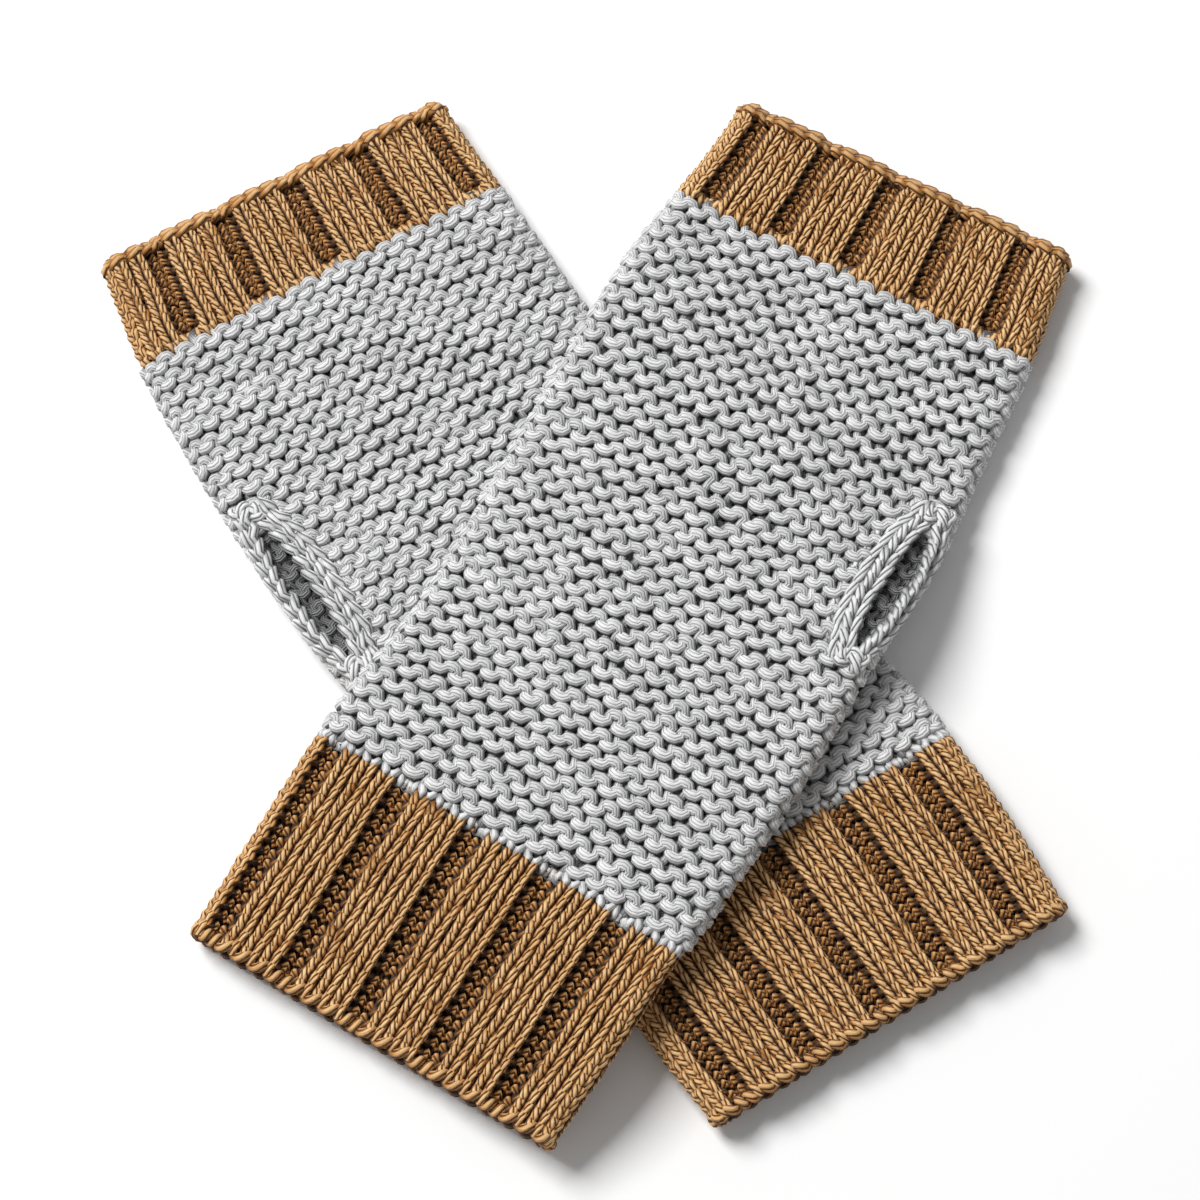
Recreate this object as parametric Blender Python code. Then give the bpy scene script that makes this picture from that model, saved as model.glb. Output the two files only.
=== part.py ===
"""A pair of fingerless knitted mitts, laid flat with one mitt crossed over the other.

Each mitt is a flattened knitted tube: a ribbed wrist cuff, a garter-stitch hand with a slit for the
thumb beside one fold, a chain-knitted edging round that slit, and a short ribbed finger cuff. The
second mitt is the first one mirrored. Sizes in the tables are millimetres, meshes are in metres.
"""

import math
from collections import namedtuple

import bmesh
import bpy
import numpy as np

MM = 0.001
GAP = 0.3                    # clear space between two pieces that touch

# One mitt, before it is laid: full width of the flattened tube and how far its upper face swells.
Section = namedtuple("Section", "along width crown")
FULL_CROWN = 0.8

WRIST_CUFF_SECTIONS = (
    Section(along=0.0, width=90.2, crown=0.2),
    Section(along=23.0, width=92.6, crown=0.3),
    Section(along=46.5, width=92.8, crown=0.4),
)
HAND_SECTIONS = (
    Section(along=46.5, width=93.4, crown=0.4),
    Section(along=80.0, width=92.8, crown=FULL_CROWN),
    Section(along=120.0, width=92.8, crown=FULL_CROWN),
    Section(along=160.0, width=94.0, crown=FULL_CROWN),
    Section(along=180.0, width=92.6, crown=0.6),
    Section(along=202.5, width=91.0, crown=0.3),
)
FINGER_CUFF_SECTIONS = (
    Section(along=202.5, width=90.6, crown=0.2),
    Section(along=215.0, width=87.6, crown=0.2),
    Section(along=228.0, width=84.6, crown=0.1),
)

# Thickness of the flattened tube, of its wall, and how much thinner the wall is in a rib's furrow.
CUFF_THICKNESS = 9.6
CUFF_WALL = 4.4
FURROW_DEPTH = 1.8
HAND_THICKNESS = 9.2
HAND_WALL = 4.2

RIB_COUNT = 11               # ribs round a cuff
RELIEF_FADES_FROM = -0.25    # cosine of a face's tilt where the relief starts to fade,
RELIEF_FADES_TO = -0.85      # and where it is gone, so that the underside rests flat
# One rib from furrow to furrow: part of the rib's width, and part of its full height.
RibPoint = namedtuple("RibPoint", "phase height")
RIB_PROFILE = (
    RibPoint(phase=0.00, height=0.00),
    RibPoint(phase=0.13, height=0.12),
    RibPoint(phase=0.24, height=0.80),
    RibPoint(phase=0.38, height=1.00),
    RibPoint(phase=0.62, height=1.00),
    RibPoint(phase=0.76, height=0.80),
    RibPoint(phase=0.87, height=0.12),
)

# The thumb slit lies on the upper face, this far round from where the thumb-side fold begins.
SLIT_PAST_FOLD = 0.4
SLIT_MIDDLE = 141.0
SLIT_HALF_LENGTH = 15.5
SLIT_HALF_GAPE = 2.1
EDGING_HALF_LENGTH = 20.8
EDGING_WIDTH_PALM_SIDE = 6.3
EDGING_WIDTH_FOLD_SIDE = 4.6
HOLE_SHARE = 0.30            # the hand's hole, as a share of the way from the lip to the outer rim
LIP_DEPTH = 1.8
RIM_CLEARANCE = 0.4          # under the edging where it lies on the hand
EDGING_STATIONS = 36
HOLE_ROWS = 10
PARTED_FOLD_SIDE = 12.0      # how far from the hole the hand's columns still part for it
PARTED_PALM_SIDE = 24.0
FOLD_COLUMNS = 6
UNDERSIDE_COLUMNS = 7
UPPER_COLUMNS = 9
# Section of the edging: share of the way from the lip to the outer rim, and depth in the hand.
EdgingPoint = namedtuple("EdgingPoint", "share depth")
EDGING_PROFILE = (
    EdgingPoint(share=0.00, depth=LIP_DEPTH),
    EdgingPoint(share=0.00, depth=-0.6),
    EdgingPoint(share=0.14, depth=-1.4),
    EdgingPoint(share=0.50, depth=-1.8),
    EdgingPoint(share=0.85, depth=-1.3),
    EdgingPoint(share=1.00, depth=-RIM_CLEARANCE),
    EdgingPoint(share=0.72, depth=-RIM_CLEARANCE),
    EdgingPoint(share=0.44, depth=-RIM_CLEARANCE),
    EdgingPoint(share=0.16, depth=-RIM_CLEARANCE),
    EdgingPoint(share=0.16, depth=LIP_DEPTH),
)

# How a soft mitt is laid: where each of its sections ends up along the mitt's straight centre line,
# how far it is shifted towards the thumb, its slant in degrees and its change of width.
Lay = namedtuple("Lay", "along laid shift slant widen")

# A mitt's centre line starts at x, y on the surface, and its heading is in degrees from +X. A turn is
# how far round, in ribs, the first furrow of a cuff lies from the middle of its upper face. The bands
# are rings of faces: over each cuff, and over the hand below and above the slit's edging.
Mitt = namedtuple(
    "Mitt",
    "x y heading thumb_side wrist_turn finger_turn wrist_bands finger_bands hand_bands lay",
)

TOP_MITT = Mitt(
    x=-48.5, y=-96.4, heading=58.7, thumb_side=1.0, wrist_turn=-0.28, finger_turn=-0.13,
    wrist_bands=5, finger_bands=4, hand_bands=(8, 5),
    lay=(
        Lay(along=0.0, laid=-1.2, shift=0.8, slant=0.4, widen=1.015),
        Lay(along=46.5, laid=48.2, shift=2.9, slant=-1.0, widen=1.0),
        Lay(along=85.0, laid=84.5, shift=5.9, slant=0.4, widen=0.99),
        Lay(along=125.0, laid=121.8, shift=5.2, slant=2.2, widen=1.0),
        Lay(along=150.0, laid=145.8, shift=5.0, slant=3.4, widen=1.0),
        Lay(along=176.0, laid=172.6, shift=3.0, slant=4.2, widen=0.995),
        Lay(along=202.5, laid=199.7, shift=1.9, slant=4.7, widen=0.985),
        Lay(along=228.0, laid=225.9, shift=0.4, slant=4.2, widen=0.985),
    ),
)
UNDER_MITT = Mitt(
    x=60.6, y=-91.7, heading=125.2, thumb_side=-1.0, wrist_turn=0.1, finger_turn=-0.2,
    wrist_bands=3, finger_bands=3, hand_bands=(4, 3),
    lay=(
        Lay(along=0.0, laid=-1.4, shift=-0.5, slant=3.8, widen=0.99),
        Lay(along=46.5, laid=45.0, shift=-0.8, slant=4.5, widen=1.005),
        Lay(along=85.0, laid=84.0, shift=2.6, slant=4.9, widen=1.0),
        Lay(along=125.0, laid=125.8, shift=8.4, slant=5.5, widen=1.0),
        Lay(along=150.0, laid=152.5, shift=8.1, slant=6.0, widen=1.0),
        Lay(along=176.0, laid=179.6, shift=7.0, slant=6.5, widen=1.005),
        Lay(along=202.5, laid=206.2, shift=5.2, slant=6.9, widen=1.01),
        Lay(along=228.0, laid=230.6, shift=2.2, slant=7.4, widen=1.02),
    ),
)

# The top mitt lies on the under mitt between two ledges, then comes down to the surface. The ledges
# are measured from the under mitt's centre line, towards its thumb and away from it.
LEDGE_THUMB_SIDE = 51.0
LEDGE_PLAIN_SIDE = 43.0
FALL_LENGTH = 42.0
REST_HEIGHT = HAND_THICKNESS + FULL_CROWN + GAP

BROWN_YARN = (0.43, 0.21, 0.065, 1.0)
GREY_YARN = (0.45, 0.46, 0.475, 1.0)
YARN_ROUGHNESS = 0.85


def through(rows, column, along):
    """Read one column of a table as a smooth curve (cubic pieces with shared slopes)."""
    keys = np.array([row.along for row in rows])
    values = np.array([getattr(row, column) for row in rows])
    slopes = np.gradient(values, keys)
    along = np.clip(along, keys[0], keys[-1])
    low = np.clip(np.searchsorted(keys, along, side="right") - 1, 0, len(keys) - 2)
    span = keys[low + 1] - keys[low]
    part = (along - keys[low]) / span
    rise = part * part * (3.0 - 2.0 * part)
    bend_low = part * (1.0 - part) ** 2 * span * slopes[low]
    bend_high = part * part * (1.0 - part) * span * slopes[low + 1]
    return values[low] * (1.0 - rise) + values[low + 1] * rise + bend_low - bend_high


def centre_line_offset(mitt, x, y):
    """Distance of points from a mitt's straight centre line, positive towards its thumb."""
    heading = math.radians(mitt.heading)
    return mitt.thumb_side * ((x - mitt.x) * math.sin(heading) - (y - mitt.y) * math.cos(heading))


def drape(x, y):
    """Height of the top mitt's underside: level over the under mitt, then eased down to nothing."""
    across = centre_line_offset(UNDER_MITT, x, y)
    beyond = np.maximum(across - LEDGE_THUMB_SIDE, -across - LEDGE_PLAIN_SIDE) / FALL_LENGTH
    beyond = np.clip(beyond, 0.0, 1.0)
    return REST_HEIGHT * (1.0 - beyond * beyond * (3.0 - 2.0 * beyond))


def half_flat(mitt, sections, thickness, along):
    """Half of the flat part of the tube's width, between its two round folds."""
    width = through(sections, "width", along) * through(mitt.lay, "widen", along)
    return 0.5 * width - 0.5 * thickness


def half_round(mitt, sections, thickness, along):
    """Distance round the outside of the tube from the middle of its upper face to its underside's."""
    return 2.0 * half_flat(mitt, sections, thickness, along) + 0.5 * math.pi * thickness


def place(mitt, sections, thickness, around, along, depth):
    """World points, in mm, of points given in a piece's own coordinates.

    around is the distance round the flattened tube from the middle of its upper face, positive
    towards the thumb, along runs from the wrist end, and depth goes inwards from the outer face.
    """
    radius = 0.5 * thickness
    flat = half_flat(mitt, sections, thickness, along)
    side = np.where(around < 0.0, -1.0, 1.0)
    reach = np.abs(around)
    turned = np.clip((reach - flat) / radius, 0.0, math.pi)
    returned = np.clip(reach - flat - math.pi * radius, 0.0, None)
    across = side * (np.minimum(reach, flat) + (radius - depth) * np.sin(turned) - returned)
    height = radius + (radius - depth) * np.cos(turned)
    swell = np.clip(1.0 - (across / (flat + radius)) ** 2, 0.0, 1.0)
    height = height * (1.0 + swell * through(sections, "crown", along) / thickness)
    slant = np.tan(np.radians(through(mitt.lay, "slant", along)))
    forward = through(mitt.lay, "laid", along) + across * slant
    sideways = mitt.thumb_side * (across + through(mitt.lay, "shift", along))
    heading = math.radians(mitt.heading)
    x = mitt.x + forward * math.cos(heading) + sideways * math.sin(heading)
    y = mitt.y + forward * math.sin(heading) - sideways * math.cos(heading)
    if mitt is TOP_MITT:
        height = height + drape(x, y)
    return np.stack(np.broadcast_arrays(x, y, height), axis=-1)


def grid_faces(index):
    """Four-sided faces between the neighbouring rows and columns of a grid of vertex numbers."""
    corners = (index[:-1, :-1], index[:-1, 1:], index[1:, 1:], index[1:, :-1])
    return np.stack(corners, axis=-1).reshape(-1, 4).tolist()


def shell_mesh(outer, inner, slit_rows):
    """Close an outer and an inner sheet into one wall.

    The sheets' first and last columns meet, and are welded, but for the rows of a slit, where the
    wall gets two edge faces in its thickness.
    """
    rows, columns = outer.shape[:2]
    front = np.arange(rows * columns).reshape(rows, columns)
    back = front + rows * columns
    faces = grid_faces(front) + grid_faces(back[:, ::-1])
    faces += grid_faces(np.stack((back[0], front[0])))
    faces += grid_faces(np.stack((front[-1], back[-1])))
    if slit_rows:
        first, last = slit_rows
        faces += grid_faces(np.stack((front[first:last + 1, 0], back[first:last + 1, 0])))
        faces += grid_faces(np.stack((back[first:last + 1, -1], front[first:last + 1, -1])))
    points = np.concatenate((outer.reshape(-1, 3), inner.reshape(-1, 3)))
    return points, faces


def cuff(mitt, sections, turn, bands):
    """A ribbed tube: its outer points go in and out with the ribs, but its underside is flat."""
    along = np.linspace(sections[0].along, sections[-1].along, bands + 1)
    along = np.clip(along, sections[0].along + 0.5 * GAP, sections[-1].along - 0.5 * GAP)
    phases = np.array([point.phase for point in RIB_PROFILE])
    heights = np.array([point.height for point in RIB_PROFILE])
    rib = np.arange(RIB_COUNT)[:, None]
    share = ((rib + phases + turn) / RIB_COUNT).ravel()
    raised = np.tile(heights, RIB_COUNT)
    share = np.append(share, share[0] + 1.0)
    raised = np.append(raised, raised[0])
    share = (share + 0.5) % 1.0 - 0.5
    half = half_round(mitt, sections, CUFF_THICKNESS, along)[:, None]
    around = 2.0 * half * share[None, :]
    # The angle from straight up tells where the fold turns under, and there the relief fades out.
    flat = half_flat(mitt, sections, CUFF_THICKNESS, along)[:, None]
    turned = np.clip((np.abs(around) - flat) / (0.5 * CUFF_THICKNESS), 0.0, math.pi)
    relief = (np.cos(turned) - RELIEF_FADES_TO) / (RELIEF_FADES_FROM - RELIEF_FADES_TO)
    furrow = FURROW_DEPTH * (1.0 - raised[None, :]) * np.clip(relief, 0.0, 1.0)
    outer = place(mitt, sections, CUFF_THICKNESS, around, along[:, None], furrow)
    inner = place(mitt, sections, CUFF_THICKNESS, around, along[:, None], CUFF_WALL)
    return shell_mesh(outer, inner, None)


def hand(mitt):
    """The garter-stitch tube, with its columns parted to leave the hole of the thumb slit."""
    hole_half_length = edging_size(SLIT_HALF_LENGTH, EDGING_HALF_LENGTH, HOLE_SHARE)
    palm_side = SLIT_HALF_GAPE + HOLE_SHARE * EDGING_WIDTH_PALM_SIDE
    fold_side = SLIT_HALF_GAPE + HOLE_SHARE * EDGING_WIDTH_FOLD_SIDE
    start = HAND_SECTIONS[0].along + 0.5 * GAP
    end = HAND_SECTIONS[-1].along - 0.5 * GAP
    hole = SLIT_MIDDLE - hole_half_length * np.cos(np.linspace(0.0, math.pi, HOLE_ROWS))
    below, above = mitt.hand_bands
    along = np.concatenate((
        np.linspace(start, SLIT_MIDDLE - EDGING_HALF_LENGTH, below + 1),
        hole,
        np.linspace(SLIT_MIDDLE + EDGING_HALF_LENGTH, end, above + 1),
    ))[:, None]
    flat = half_flat(mitt, HAND_SECTIONS, HAND_THICKNESS, along)
    half = half_round(mitt, HAND_SECTIONS, HAND_THICKNESS, along)
    # Columns from the slit round the thumb fold, the underside, the plain fold and the upper face.
    slit_at = flat + SLIT_PAST_FOLD
    fold = np.linspace(0.0, 0.5 * math.pi * HAND_THICKNESS, FOLD_COLUMNS + 1)[None, :]
    across_under = np.linspace(0.0, 1.0, UNDERSIDE_COLUMNS + 1)[None, 1:-1]
    across_upper = np.linspace(0.0, 1.0, UPPER_COLUMNS + 1)[None, 1:]
    thumb_fold = flat + fold[:, 1:]
    underside = thumb_fold[:, -1:] + across_under * 2.0 * flat
    plain_fold = thumb_fold[:, -1:] + 2.0 * flat + fold
    upper = plain_fold[:, -1:] + across_upper * (flat + slit_at)
    around = np.concatenate((slit_at, thumb_fold, underside, plain_fold, upper), axis=1)
    # Near the slit the columns move apart by the hole's width, less and less away from it.
    part = np.clip(1.0 - ((along - SLIT_MIDDLE) / hole_half_length) ** 2, 0.0, 1.0) ** 0.5
    past = around - around[:, :1]
    short = around[:, -1:] - around
    around = around + fold_side * part * np.clip(1.0 - past / PARTED_FOLD_SIDE, 0.0, 1.0)
    around = around - palm_side * part * np.clip(1.0 - short / PARTED_PALM_SIDE, 0.0, 1.0)
    around = (around + half) % (2.0 * half) - half
    outer = place(mitt, HAND_SECTIONS, HAND_THICKNESS, around, along, 0.0)
    inner = place(mitt, HAND_SECTIONS, HAND_THICKNESS, around, along, HAND_WALL)
    return shell_mesh(outer, inner, (below + 1, below + HOLE_ROWS))


def edging_size(at_lip, at_rim, share):
    """A size of the edging's loop, part of the way from its lip to its outer rim."""
    return at_lip + share * (at_rim - at_lip)


def thumb_edging(mitt):
    """A closed loop round the slit: its lip goes down into the hole, its rim lies on the hand."""
    station = np.linspace(0.0, 2.0 * math.pi, EDGING_STATIONS, endpoint=False)[:, None]
    share = np.array([point.share for point in EDGING_PROFILE])[None, :]
    depth = np.array([point.depth for point in EDGING_PROFILE])[None, :]
    along = SLIT_MIDDLE + edging_size(SLIT_HALF_LENGTH, EDGING_HALF_LENGTH, share) * np.cos(station)
    side_width = np.where(np.sin(station) < 0.0, EDGING_WIDTH_PALM_SIDE, EDGING_WIDTH_FOLD_SIDE)
    from_slit = (SLIT_HALF_GAPE + share * side_width) * np.sin(station)
    flat = half_flat(mitt, HAND_SECTIONS, HAND_THICKNESS, along)
    around = flat + SLIT_PAST_FOLD + from_slit
    points = place(mitt, HAND_SECTIONS, HAND_THICKNESS, around, along, depth)
    index = np.arange(station.size * share.size).reshape(station.size, share.size)
    index = np.concatenate((index, index[:1]))
    index = np.concatenate((index, index[:, :1]), axis=1)
    return points.reshape(-1, 3), grid_faces(index)


def yarn_material(name, colour):
    """A matt yarn colour."""
    material = bpy.data.materials.new(name)
    material.use_nodes = True
    shader = material.node_tree.nodes["Principled BSDF"]
    shader.inputs["Base Color"].default_value = colour
    shader.inputs["Roughness"].default_value = YARN_ROUGHNESS
    shader.inputs["Metallic"].default_value = 0.0
    material.diffuse_color = colour
    return material


def add_piece(name, points, faces, colour, collection):
    """Make one named solid of a piece's points and faces, welded and facing outwards."""
    mesh = bpy.data.meshes.new(name)
    mesh.from_pydata((points * MM).tolist(), [], faces)
    solid = bmesh.new()
    solid.from_mesh(mesh)
    bmesh.ops.remove_doubles(solid, verts=solid.verts, dist=1e-6)
    bmesh.ops.recalc_face_normals(solid, faces=solid.faces)
    solid.to_mesh(mesh)
    solid.free()
    piece = bpy.data.objects.new(name, mesh)
    mesh.materials.append(yarn_material(name + "_yarn", colour))
    collection.objects.link(piece)


def mitt_pieces(prefix, mitt):
    """The four pieces of one mitt as rows of name, points, faces and colour."""
    wrist = cuff(mitt, WRIST_CUFF_SECTIONS, mitt.wrist_turn, mitt.wrist_bands)
    finger = cuff(mitt, FINGER_CUFF_SECTIONS, mitt.finger_turn, mitt.finger_bands)
    return [
        (prefix + "_wrist_cuff", *wrist, BROWN_YARN),
        (prefix + "_hand", *hand(mitt), GREY_YARN),
        (prefix + "_thumb_edging", *thumb_edging(mitt), GREY_YARN),
        (prefix + "_finger_cuff", *finger, BROWN_YARN),
    ]


def build():
    """Build both mitts, with the middle of their common box's underside at the origin."""
    for old in list(bpy.data.objects):
        bpy.data.objects.remove(old)
    collection = bpy.data.collections.new("pair_of_fingerless_mitts")
    bpy.context.scene.collection.children.link(collection)
    pieces = mitt_pieces("under", UNDER_MITT) + mitt_pieces("top", TOP_MITT)
    everything = np.concatenate([points for _name, points, _faces, _colour in pieces])
    middle = 0.5 * (everything.min(axis=0) + everything.max(axis=0))
    middle[2] = 0.0
    for name, points, faces, colour in pieces:
        add_piece(name, points - middle, faces, colour, collection)


build()
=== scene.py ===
"""The looks of a pair of fingerless knitted mitts, laid flat with one mitt crossed over the other.

Each mitt is worked as a knitter works it, from the wrist to the fingers: a brown ribbed wrist cuff, a
grey garter-stitch hand with a slit for the thumb, a brown ribbed finger cuff, and a chain-knitted
edging round the slit. Every row is one length of plied yarn, bent into loops that pass through the
loops of the row below. Sizes are in millimetres until a mesh is made from them.
"""

import math
from collections import namedtuple

import bpy
import numpy as np
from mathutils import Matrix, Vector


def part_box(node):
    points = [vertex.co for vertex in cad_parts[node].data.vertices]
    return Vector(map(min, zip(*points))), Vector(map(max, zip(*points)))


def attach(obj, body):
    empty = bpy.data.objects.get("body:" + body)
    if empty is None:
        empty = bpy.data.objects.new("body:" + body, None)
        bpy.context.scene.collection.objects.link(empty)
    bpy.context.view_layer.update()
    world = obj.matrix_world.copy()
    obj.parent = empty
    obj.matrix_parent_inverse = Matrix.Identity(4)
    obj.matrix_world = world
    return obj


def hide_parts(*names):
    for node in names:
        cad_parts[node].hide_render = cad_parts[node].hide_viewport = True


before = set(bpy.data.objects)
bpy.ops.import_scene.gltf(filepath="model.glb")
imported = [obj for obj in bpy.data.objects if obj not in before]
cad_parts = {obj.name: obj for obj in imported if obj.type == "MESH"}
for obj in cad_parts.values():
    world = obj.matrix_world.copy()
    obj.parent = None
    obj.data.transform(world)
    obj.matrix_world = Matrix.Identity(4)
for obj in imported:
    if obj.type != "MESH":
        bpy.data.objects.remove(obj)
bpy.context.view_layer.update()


# --- The wrist cuffs -----------------------------------------
# Brown cotton, cast on at the wrist and knitted in the round, three stitches plain and two purl, so
# that eleven ribs stand up round the cuff. They come first, so the way the two mitts lie is told here:
# a flattened tube, pulled a little out of true, and lifted where it crosses the other mitt.

MM = 0.001

# One mitt before it is laid: the flattened tube's full width and thickness, and its upper face's swell.
Section = namedtuple("Section", "along width thickness crown")
SECTIONS = (
    Section(along=0.0, width=90.2, thickness=9.6, crown=0.2),
    Section(along=23.0, width=92.6, thickness=9.6, crown=0.3),
    Section(along=44.0, width=92.9, thickness=9.6, crown=0.4),
    Section(along=52.0, width=93.4, thickness=9.2, crown=0.5),
    Section(along=80.0, width=92.8, thickness=9.2, crown=0.8),
    Section(along=120.0, width=92.8, thickness=9.2, crown=0.8),
    Section(along=160.0, width=94.0, thickness=9.2, crown=0.8),
    Section(along=180.0, width=92.6, thickness=9.2, crown=0.6),
    Section(along=199.0, width=91.0, thickness=9.2, crown=0.3),
    Section(along=205.0, width=90.2, thickness=9.6, crown=0.2),
    Section(along=215.0, width=87.6, thickness=9.6, crown=0.2),
    Section(along=228.0, width=84.6, thickness=9.6, crown=0.1),
)
WRIST_SEAM = 46.5
FINGER_SEAM = 202.5
FINGER_END = 228.0

# How a soft mitt is laid: where each section ends up along the mitt's straight centre line, how far it
# is shifted towards the thumb, its slant in degrees and its change of width.
Lay = namedtuple("Lay", "along laid shift slant widen")
Mitt = namedtuple("Mitt", "name x y heading thumb_side wrist_turn finger_turn stitches ridges lay")
UNDER_MITT = Mitt(
    name="under", x=60.6, y=-91.7, heading=125.2, thumb_side=-1.0, wrist_turn=0.1, finger_turn=-0.2,
    stitches=43, ridges=37,
    lay=(
        Lay(along=0.0, laid=-1.4, shift=-0.5, slant=3.8, widen=0.99),
        Lay(along=46.5, laid=45.0, shift=-0.8, slant=4.5, widen=1.005),
        Lay(along=85.0, laid=84.0, shift=2.6, slant=4.9, widen=1.0),
        Lay(along=125.0, laid=125.8, shift=8.4, slant=5.5, widen=1.0),
        Lay(along=150.0, laid=152.5, shift=8.1, slant=6.0, widen=1.0),
        Lay(along=176.0, laid=179.6, shift=7.0, slant=6.5, widen=1.005),
        Lay(along=202.5, laid=206.2, shift=5.2, slant=6.9, widen=1.01),
        Lay(along=228.0, laid=230.6, shift=2.2, slant=7.4, widen=1.02),
    ),
)
TOP_MITT = Mitt(
    name="top", x=-48.5, y=-96.4, heading=58.7, thumb_side=1.0, wrist_turn=-0.28, finger_turn=-0.13,
    stitches=39, ridges=33,
    lay=(
        Lay(along=0.0, laid=-1.2, shift=0.8, slant=0.4, widen=1.015),
        Lay(along=46.5, laid=48.2, shift=2.9, slant=-1.0, widen=1.0),
        Lay(along=85.0, laid=84.5, shift=5.9, slant=0.4, widen=0.99),
        Lay(along=125.0, laid=121.8, shift=5.2, slant=2.2, widen=1.0),
        Lay(along=150.0, laid=145.8, shift=5.0, slant=3.4, widen=1.0),
        Lay(along=176.0, laid=172.6, shift=3.0, slant=4.2, widen=0.995),
        Lay(along=202.5, laid=199.7, shift=1.9, slant=4.7, widen=0.985),
        Lay(along=228.0, laid=225.9, shift=0.4, slant=4.2, widen=0.985),
    ),
)
MITTS = (UNDER_MITT, TOP_MITT)

# The top mitt is level between two ledges over the under mitt, then slopes down to the surface.
LEDGE_THUMB_SIDE = 51.0
LEDGE_PLAIN_SIDE = 43.0
FALL_LENGTH = 42.0
REST_HEIGHT = 10.3


def through(rows, column, along):
    """Read a table's column as a smooth curve: cubic pieces with shared slopes."""
    keys = np.array([row.along for row in rows])
    values = np.array([getattr(row, column) for row in rows])
    slopes = np.gradient(values, keys)
    along = np.clip(along, keys[0], keys[-1])
    low = np.clip(np.searchsorted(keys, along, side="right") - 1, 0, len(keys) - 2)
    span = keys[low + 1] - keys[low]
    part = (along - keys[low]) / span
    rise = part * part * (3.0 - 2.0 * part)
    bend_low = part * (1.0 - part) ** 2 * span * slopes[low]
    bend_high = part * part * (1.0 - part) * span * slopes[low + 1]
    return values[low] * (1.0 - rise) + values[low + 1] * rise + bend_low - bend_high


def smooth_step(value):
    """0 below 0, 1 above 1, and 3v^2 - 2v^3 between."""
    value = np.clip(value, 0.0, 1.0)
    return value * value * (3.0 - 2.0 * value)


def drape(x, y):
    """Height of the top mitt's underside: level over the under mitt, then eased down to nothing."""
    heading = math.radians(UNDER_MITT.heading)
    across = (x - UNDER_MITT.x) * math.sin(heading) - (y - UNDER_MITT.y) * math.cos(heading)
    across = UNDER_MITT.thumb_side * across
    beyond = np.maximum(across - LEDGE_THUMB_SIDE, -across - LEDGE_PLAIN_SIDE) / FALL_LENGTH
    return REST_HEIGHT * (1.0 - smooth_step(beyond))


def half_flat(mitt, along):
    """Half of the flat part of the tube's width, between its two round folds."""
    width = through(SECTIONS, "width", along) * through(mitt.lay, "widen", along)
    return 0.5 * (width - through(SECTIONS, "thickness", along))


def half_round(mitt, along):
    """Distance round the outside from the middle of the upper face to the middle of the underside."""
    return 2.0 * half_flat(mitt, along) + 0.5 * math.pi * through(SECTIONS, "thickness", along)


def place(mitt, around, along, depth):
    """Points in mm of a mitt's own coordinates: distance round it, along it, and in from its face.

    Round the tube the section runs flat, over a half circle, flat underneath and over the other half
    circle. Then it is swelled, slanted, shifted, turned to the mitt's heading and draped.
    """
    thickness = through(SECTIONS, "thickness", along)
    radius = 0.5 * thickness
    flat = half_flat(mitt, along)
    reach = np.abs(around)
    turned = np.clip((reach - flat) / radius, 0.0, math.pi)
    returned = np.clip(reach - flat - math.pi * radius, 0.0, None)
    across = np.minimum(reach, flat) + (radius - depth) * np.sin(turned) - returned
    across = np.where(around < 0.0, -across, across)
    height = radius + (radius - depth) * np.cos(turned)
    swell = np.clip(1.0 - (across / (flat + radius)) ** 2, 0.0, 1.0)
    height = height * (1.0 + swell * through(SECTIONS, "crown", along) / thickness)
    slant = np.tan(np.radians(through(mitt.lay, "slant", along)))
    forward = through(mitt.lay, "laid", along) + np.minimum(along, 0.0) + across * slant
    forward = forward + np.maximum(along - FINGER_END, 0.0)
    sideways = mitt.thumb_side * (across + through(mitt.lay, "shift", along))
    heading = math.radians(mitt.heading)
    x = mitt.x + forward * math.cos(heading) + sideways * math.sin(heading)
    y = mitt.y + forward * math.sin(heading) - sideways * math.cos(heading)
    if mitt is TOP_MITT:
        height = height + drape(x, y)
    return np.stack(np.broadcast_arrays(x, y, height), axis=-1)


# The solids have the middle of both mitts at the origin, so the shift is read from one solid's box.
rim = np.linspace(-1.0, 1.0, 721)[None, :]
cuff_rows = np.array([0.15, 12.0, 24.0, 36.0, WRIST_SEAM - 0.15])[:, None]
cuff_points = place(TOP_MITT, rim * half_round(TOP_MITT, cuff_rows), cuff_rows, 0.0).reshape(-1, 3)
cuff_low, cuff_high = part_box("top_wrist_cuff")
MIDDLE = 0.5 * (cuff_points.min(axis=0) + cuff_points.max(axis=0)) * MM
MIDDLE = MIDDLE - 0.5 * (np.array(cuff_low) + np.array(cuff_high))
MIDDLE[2] = 0.0

# How a yarn is knitted: its radius and how much plumper it is where it shows, how far a loop reaches up
# and down from its row's line, how wide its head spreads (in stitches), how far it bulges in and out,
# how far one end of each arc lies over its neighbour, how far its foot stands out beyond its head, and
# how uneven its stitches are.
Gauge = namedtuple("Gauge", "yarn plump reach spread bulge twist tuck uneven")
RIB_GAUGE = Gauge(
    yarn=1.04, plump=0.0, reach=2.45, spread=0.115, bulge=0.85, twist=0.0, tuck=0.26, uneven=0.9,
)
PURL_REACH = 1.6             # purl stitches are shorter and rounder than plain ones
PURL_SPREAD = 0.19
PURL_PLUMP = -0.35
PURL_YARN = 0.80             # and their yarn is drawn thinner, as a share
LEAN = -0.02                 # plain stitches lean to the left, in stitches
RIB_STITCHES = 5             # in one rib: a purl, three plain and a purl
RIBS = 11
WRIST_ROWS = 18
CAST_ON_ROOM = 0.9           # that the cast-on takes from the ribbed rows
SEAM_ROOM = 1.0              # that the first grey row takes from them
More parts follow.
